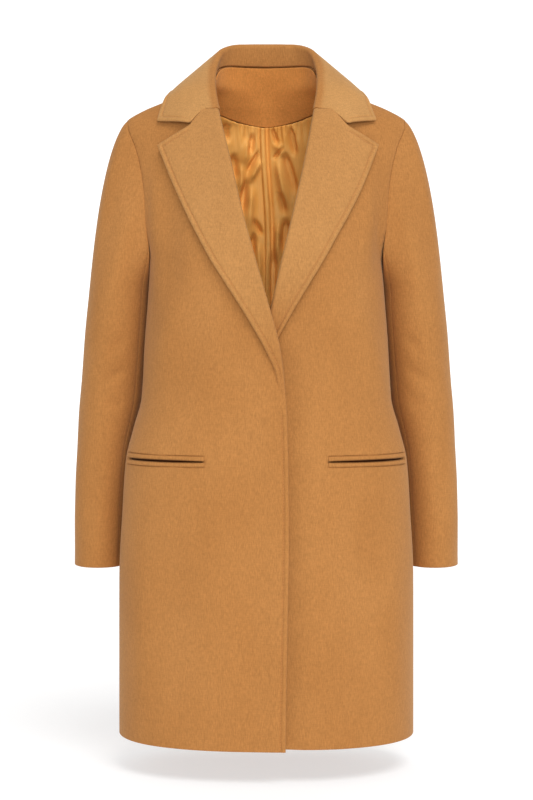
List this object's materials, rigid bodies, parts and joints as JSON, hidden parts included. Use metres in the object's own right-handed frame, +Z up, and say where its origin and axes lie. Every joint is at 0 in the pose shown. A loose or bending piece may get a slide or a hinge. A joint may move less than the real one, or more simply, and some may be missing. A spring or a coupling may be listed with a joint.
{
  "type": "long coat",
  "caption": "Long single-breasted wool coat with notched lapels, turned collar, two-piece sleeves and welt pockets, in its empty worn form.",
  "frame": {"origin": "middle of the neck between the two shoulder neck points, where the wearer's shoulders carry the coat", "axes": "+Z up, the front of the coat faces -Y, the wearer's left sleeve is on +X"},
  "size_m": [0.5394, 0.2708, 0.9601],
  "materials": {
    "wool": "short brushed nap, matt, with a faint sheen",
    "lining": "smooth satin"
  },
  "bodies": {
    "root": {"front_right": "wool", "front_left": "wool", "back": "wool", "sleeve_right_upper": "wool", "sleeve_right_under": "wool", "sleeve_left_upper": "wool", "sleeve_left_under": "wool", "collar": "wool", "lapel_right": "wool", "lapel_left": "wool", "back_neck_facing": "wool", "pocket_right_welt_upper": "wool", "pocket_right_welt_lower": "wool", "pocket_left_welt_upper": "wool", "pocket_left_welt_lower": "wool", "lining_back": "lining"}
  },
  "joints": []
}
